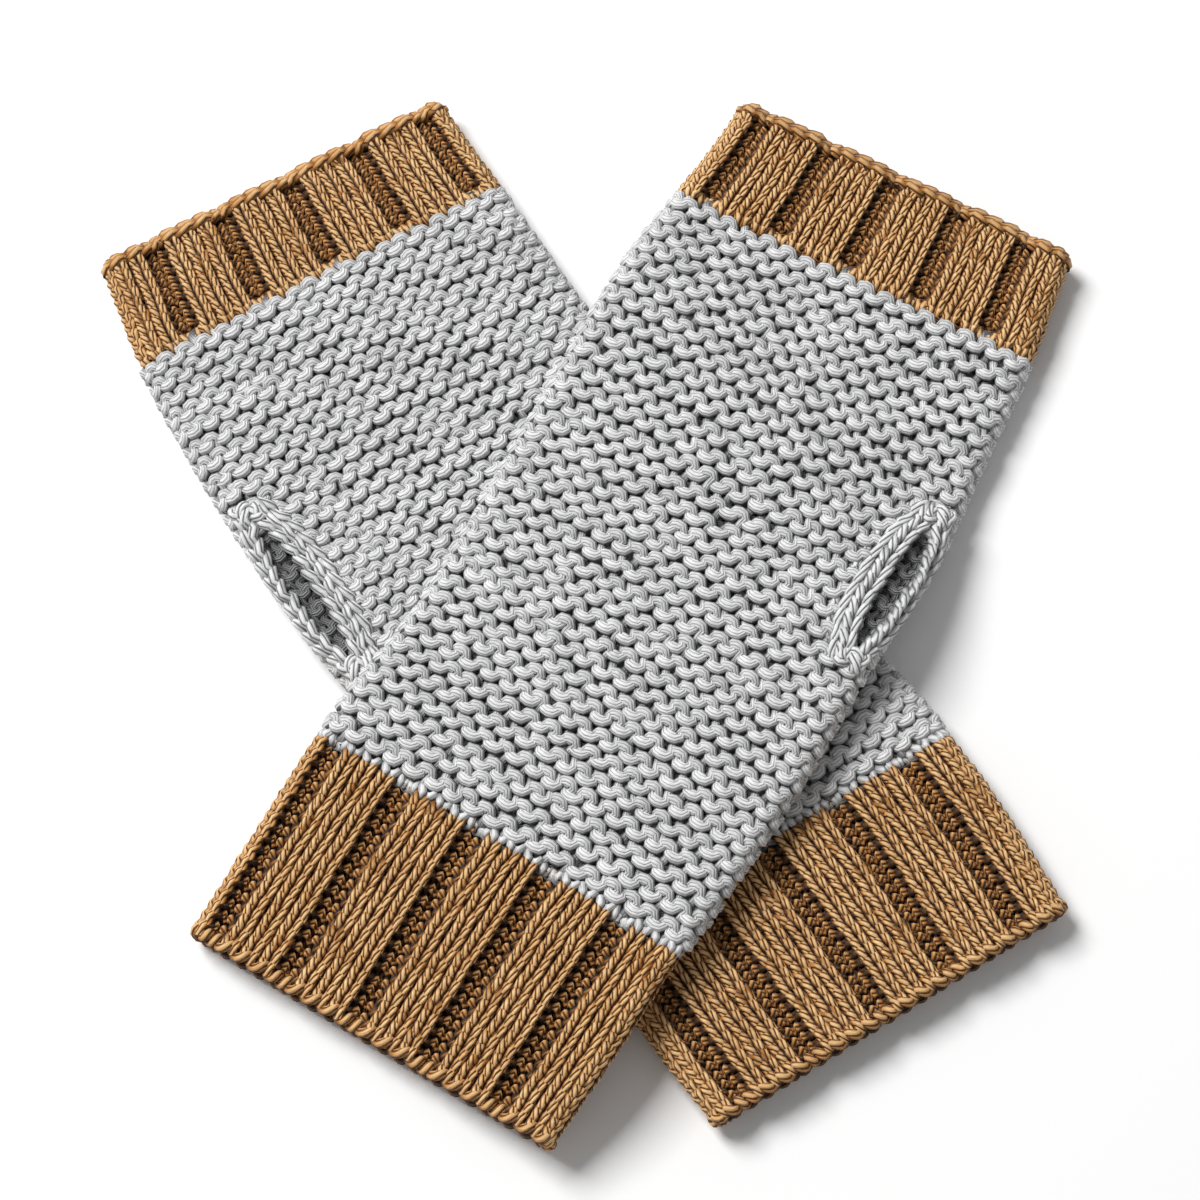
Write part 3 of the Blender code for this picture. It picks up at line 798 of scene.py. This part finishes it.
for mitt in MITTS:
    node = mitt.name + "_hand"
    every = 2 * mitt.ridges
    parts = (("_garter_low", 0, every // 2), ("_garter_high", every // 2, every))
    knitted = [garter_rows(mitt, node + end, low, high, 20 + low) for end, low, high in parts]
    knitted.append(seam_row(mitt, node + "_first_row", WRIST_SEAM - 0.3, mitt.wrist_turn, 24))
    for piece in knitted:
        finish_piece(piece, grey_yarn, node)
    wall = inner_wall(mitt, node + "_inside", WRIST_SEAM, FINGER_SEAM, HAND_INSIDE, grey_shade)
    declare_tube(mitt, wall, WRIST_SEAM, FINGER_SEAM, node)


# --- The finger cuffs ----------------------------------------
# Brown again, in the same rib but only ten rows long, drawn in a little towards the fingers.

FINGER_ROWS = 10
FIRST_ROW_ROOM = 0.8         # that the first brown row takes from the ribbed rows
BOUND_ROOM = 1.8             # that the bound-off chain takes from them
BOUND_GAUGE = Gauge(
    yarn=1.05, plump=0.08, reach=2.5, spread=0.24, bulge=0.6, twist=0.0, tuck=0.3, uneven=1.0,
)
BOUND_WIDTH = 3.4
BOUND_BACK = 1.5             # how far the chain's middle lies back from the cuff's end
BOUND_RAISED = 0.35          # and how far it stands over the ribs
BOUND_SHADE = 0.8
BOUND_SLOPE = 40.0           # degrees that the bound-off chain turns over the edge


def bound_off_edge(mitt, name, rib_turn, seed):
    """The bind-off: a chain that runs round the end, one stitch for each stitch below it.

    Each stitch is a short row of its own across the chain. The chain's own across and out are turned
    through the slope, so that it leans over the edge.
    """
    stitches = RIBS * RIB_STITCHES
    column, turn = turns_of(1, np.array([True]), fine=10, coarse=10, crowd=0.1)
    column = np.append(column, 0)
    turn = np.append(turn, math.tau)
    face = np.ones((stitches, 1))
    across, up, out = knit_loops(column, turn, face, face, BOUND_GAUGE, 0.0, seed)
    pitch = 2.0 * half_round(mitt, FINGER_END) / stitches
    stitch = np.arange(stitches)[:, None] + 0.5 + up / pitch
    across = (across - 0.5) * BOUND_WIDTH
    lean = math.radians(BOUND_SLOPE)
    along = FINGER_END - BOUND_BACK + across * math.cos(lean) + out * math.sin(lean)
    raised = BOUND_RAISED - across * math.sin(lean) + out * math.cos(lean)
    centre, outward = on_ribs(mitt, stitch, along, raised, rib_turn, SEAM_FURROW)
    light = BOUND_SHADE * light_between(out, behind=-0.15, before=0.45, least=0.15)
    radius = plumpness(BOUND_GAUGE, turn)
    lay = plied(turn / math.pi, BROWN_PLIES)
    return yarn_piece(name, centre, outward, radius, np.zeros(stitches, bool), lay, light[..., None])


for mitt in MITTS:
    node = mitt.name + "_finger_cuff"
    start, end = FINGER_SEAM + FIRST_ROW_ROOM, FINGER_END - BOUND_ROOM
    ribs = rib_rows(mitt, node + "_ribs", start, end, FINGER_ROWS, mitt.finger_turn, seed=12)
    first = seam_row(mitt, node + "_first_row", FINGER_SEAM + 0.2, mitt.finger_turn, 25)
    edge = bound_off_edge(mitt, node + "_bound_off", mitt.finger_turn, 26)
    for piece in (ribs, first, edge):
        finish_piece(piece, brown_yarn, node)
    wall = inner_wall(mitt, node + "_inside", FINGER_SEAM, FINGER_END - EDGE_ROOM, CUFF_INSIDE, brown_shade)
    declare_tube(mitt, wall, FINGER_SEAM, FINGER_END, node)


# --- The thumb edgings ---------------------------------------
# Grey stitches picked up along both sides of the slit and knitted plain, as two narrow bands that stand
# up from the hand, curl into the slit and are sewn together over its two ends.

EDGING_GAUGE = Gauge(
    yarn=1.15, plump=0.10, reach=2.8, spread=0.22, bulge=0.80, twist=0.0, tuck=0.35, uneven=1.0,
)
# The top mitt's edging is pulled closer, so that its plies lie as strips side by side.
STRIPED_GAUGE = Gauge(
    yarn=1.16, plump=0.0, reach=3.2, spread=0.155, bulge=0.80, twist=0.0, tuck=0.35, uneven=0.8,
)
EDGING_PLIES = 5
EDGING_CREASE_SHADE = 0.45
STRIPED_CREASE_SHADE = 0.70
EDGING_ROWS = 12
EDGING_RISE = 1.3            # how high each band's crest stands over the hand
# Each band: the side of the slit (+1 the fold's), its lip's and its crest's distance from the slit's own
# edge, the crest's half width, the band's width and its stitches.
Band = namedtuple("Band", "name side lip crest half width stitches seed")
BANDS = (
    Band(name="palm_band", side=-1.0, lip=1.7, crest=3.0, half=3.4, width=8.4, stitches=2, seed=31),
    Band(name="fold_band", side=1.0, lip=-1.0, crest=1.8, half=2.8, width=4.6, stitches=1, seed=32),
)
HEM = 0.14                   # the part of the first stitch that turns under at the lip
HEM_DEPTH = 1.6
END_STEPS = 60
INSIDE_GAUGE = Gauge(
    yarn=1.0, plump=-0.15, reach=1.9, spread=0.20, bulge=0.45, twist=0.2, tuck=0.0, uneven=1.0,
)
INSIDE_STITCHES = 2
INSIDE_STITCH_WIDTH = 4.6
INSIDE_ROWS = 14
INSIDE_ROW_HEIGHT = 2.3
INSIDE_DEPTH = 3.3
INSIDE_LIGHT = 0.32

# The same grey yarn, pulled tight so that its plies show more plainly: its plies are rounder, the painted
# shade in the grooves between them is deeper, the painted shade at its sides is lighter, and its middle
# tone is lighter.
edging_yarn = yarn_material(
    "grey_cotton_pulled_tight", groove=0.20, hair=0.60, rounding=0.35, sides=0.26,
    light=(0.90, 0.90, 0.90, 1), middle=(0.42, 0.422, 0.425, 1), dark=(0.04, 0.04, 0.042, 1),
)


def slit_sides(along):
    """Half of the slit's gape, and the share of its whole width that a band has, at a place along it."""
    part = np.clip((along - SLIT_MIDDLE) / SLIT_HALF_LENGTH, -1.0, 1.0)
    whole = np.clip((along - SLIT_MIDDLE) / (EDGING_HALF_LENGTH + 1.5), -1.0, 1.0)
    return SLIT_HALF_GAPE * np.sqrt(1.0 - part * part), 0.45 + 0.55 * np.sqrt(1.0 - whole ** 4)


def edging_band(mitt, name, band):
    """One band: short rows of plain stitches, knitted along the slit from the wrist to the fingers.

    Across the band the yarn turns under at the lip, rises over a crest, which is a parabola, and dips
    into the hand at the rim.
    """
    striped = mitt is TOP_MITT
    gauge = STRIPED_GAUGE if striped else EDGING_GAUGE
    shade = STRIPED_CREASE_SHADE if striped else EDGING_CREASE_SHADE
    column, turn = turns_of(band.stitches, np.ones(band.stitches, bool), fine=11, coarse=11, crowd=0.1)
    column = np.append(column, band.stitches - 1)
    turn = np.append(turn, math.tau)
    face = np.ones((EDGING_ROWS, band.stitches))
    across, up, out = knit_loops(column, turn, face, face, gauge, LEAN * mitt.thumb_side, band.seed)
    pitch = band.width / band.stitches
    height = 2.0 * EDGING_HALF_LENGTH / EDGING_ROWS
    along = SLIT_MIDDLE - EDGING_HALF_LENGTH + (np.arange(EDGING_ROWS)[:, None] + 0.5) * height + up
    gape, share = slit_sides(along)
    from_lip = across if band.side > 0.0 else band.stitches - across
    hidden = np.clip(1.0 - from_lip / HEM, 0.0, None)
    from_lip = (from_lip + 2.0 * HEM * hidden ** 2) * band.width / band.stitches
    around = half_flat(mitt, along) + SLIT_PAST_FOLD + band.side * (gape + (band.lip + from_lip) * share)
    crest = EDGING_RISE * (1.0 - ((from_lip - band.crest) / band.half) ** 2)
    depth = gauge.yarn + gauge.bulge - crest - out + HEM_DEPTH * hidden
    centre = place(mitt, around, along, depth)
    radius = np.broadcast_to(plumpness(gauge, turn), out.shape)
    light = light_between(out, behind=-0.6, before=0.3, least=0.4)[..., None]
    light = light * creased(across, turn, radius, pitch, mitt.thumb_side, shade)
    lay = plied(2.0 * column + turn / math.pi, EDGING_PLIES)
    if striped:
        lay = strips(across, column, turn, radius, along, pitch, height, mitt.thumb_side)
    outward = outward_at(mitt, around, along)
    return yarn_piece(name, centre, outward, radius, np.zeros(EDGING_ROWS, bool), lay, light)


def inside_seen(mitt, name, seed):
    """The garter stitch of the hand's far side, which shows dimly through the slit: a few short rows."""
    every = np.ones(INSIDE_STITCHES, bool)
    column, turn = turns_of(INSIDE_STITCHES, every, fine=10, coarse=10, crowd=-0.15)
    rows = np.arange(INSIDE_ROWS)
    own = np.where(rows % 2 == 0, 1.0, -1.0)[:, None] * np.ones(INSIDE_STITCHES)
    across, up, out = knit_loops(column, turn, own, -own, INSIDE_GAUGE, 0.06, seed)
    along = SLIT_MIDDLE + (rows[:, None] + 0.5 - 0.5 * INSIDE_ROWS) * INSIDE_ROW_HEIGHT + up
    from_slit = (across - 0.6 * INSIDE_STITCHES) * INSIDE_STITCH_WIDTH
    around = half_flat(mitt, along) + SLIT_PAST_FOLD + from_slit
    centre = place(mitt, around, along, INSIDE_DEPTH - out)
    light = INSIDE_LIGHT * light_between(out, behind=-0.5, before=0.4, least=0.2)
    outward = outward_at(mitt, around, along)
    radius = plumpness(INSIDE_GAUGE, turn)
    lay = plied(2.0 * column + turn / math.pi, GREY_PLIES)
    return yarn_piece(name, centre, outward, radius, np.zeros(INSIDE_ROWS, bool), lay, light[..., None])


KNOT_BACK = 1.2              # how far a knot's middle lies back from the edging's end
KNOT_LENGTH = 1.9            # half of its size along the mitt, round it, and in and out
KNOT_WIDTH = 2.7
KNOT_HEIGHT = 1.1
KNOT_DEPTH = 0.8             # depth of its middle
KNOT_LATE = 0.7              # how late the cosine starts, in radians


def sewn_ends(mitt, name):
    """The bands' ends sewn together: yarn that loops over itself in a small knot at each end.

    Round the mitt it follows a cosine of twice the turn, along it a sine of three times the turn, and
    in and out a sine of five times the turn. The cosine starts a little late, because the three waves
    would otherwise bring the yarn to a stop and back along its own path.
    """
    turn = np.arange(END_STEPS)[None, :] / END_STEPS * math.tau
    tip = np.array([-1.0, 1.0])[:, None] * (EDGING_HALF_LENGTH - KNOT_BACK) + SLIT_MIDDLE
    along = tip + KNOT_LENGTH * np.sin(3.0 * turn)
    around = half_flat(mitt, along) + SLIT_PAST_FOLD - 0.7 + KNOT_WIDTH * np.cos(2.0 * turn + KNOT_LATE)
    depth = KNOT_DEPTH - KNOT_HEIGHT * np.sin(5.0 * turn)
    centre = place(mitt, around, along, depth)
    light = light_between(KNOT_DEPTH - depth, behind=-1.1, before=0.8, least=0.3) * np.ones((2, 1))
    outward = outward_at(mitt, around, along)
    lay = plied(turn, EDGING_PLIES)
    return yarn_piece(name, centre, outward, EDGING_GAUGE.yarn, np.ones(2, bool), lay, light[..., None])


for mitt in MITTS:
    node = mitt.name + "_thumb_edging"
    edging = [edging_band(mitt, node + "_" + band.name, band) for band in BANDS]
    edging.append(sewn_ends(mitt, node + "_sewn_ends"))
    edging.append(inside_seen(mitt, node + "_inside_seen", seed=33))
    for piece in edging:
        finish_piece(piece, edging_yarn, node)


# --- The surface, the light and the camera -------------------
# A white surface in a bright room, with one broad soft light from the upper left, seen from a little
# off straight down, as the photograph was taken.

VIEW_TILT = 15.0             # degrees from straight down
VIEW_DISTANCE = 0.75
PIXEL = 0.22 * MM            # of the photograph, at the surface
IMAGE_WIDTH = 1200

FLOOR_HALF = 4.0
FLOOR_Z = -0.0002            # a hair below the mitts

floor_mesh = bpy.data.meshes.new("surface")
floor_corners = [(x * FLOOR_HALF, y * FLOOR_HALF, FLOOR_Z) for x, y in ((-1, -1), (1, -1), (1, 1), (-1, 1))]
floor_mesh.from_pydata(floor_corners, [], [(0, 1, 2, 3)])
surface = add_object("surface", floor_mesh)
white = bpy.data.materials.new("white_surface")
white.use_nodes = True
paint = white.node_tree.nodes["Principled BSDF"].inputs
paint["Base Color"].default_value = (0.95, 0.95, 0.95, 1)
paint["Roughness"].default_value = 0.7
floor_mesh.materials.append(white)

world = bpy.data.worlds.new("studio")
world.use_nodes = True
room = world.node_tree.nodes["Background"].inputs
room["Color"].default_value = (1.0, 1.0, 1.0, 1)
room["Strength"].default_value = 0.30
bpy.context.scene.world = world
bpy.context.scene.view_settings.view_transform = "Standard"

key_data = bpy.data.lights.new("window", "AREA")
key_data.energy = 114.0
key_data.size = 1.35
key = add_object("window", key_data)
key.location = (-1.53, 1.365, 2.49)
key.rotation_euler = (-key.location).to_track_quat("-Z", "Y").to_euler()

camera_data = bpy.data.cameras.new("camera")
camera_data.sensor_width = 36.0
camera_data.lens = 36.0 * VIEW_DISTANCE / PIXEL / IMAGE_WIDTH
camera = add_object("camera", camera_data)
tilt = math.radians(VIEW_TILT)
camera.location = (
    -MIDDLE[0],
    -MIDDLE[1] - VIEW_DISTANCE * math.sin(tilt),
    VIEW_DISTANCE * math.cos(tilt),
)
camera.rotation_euler = (tilt, 0.0, 0.0)
bpy.context.scene.camera = camera
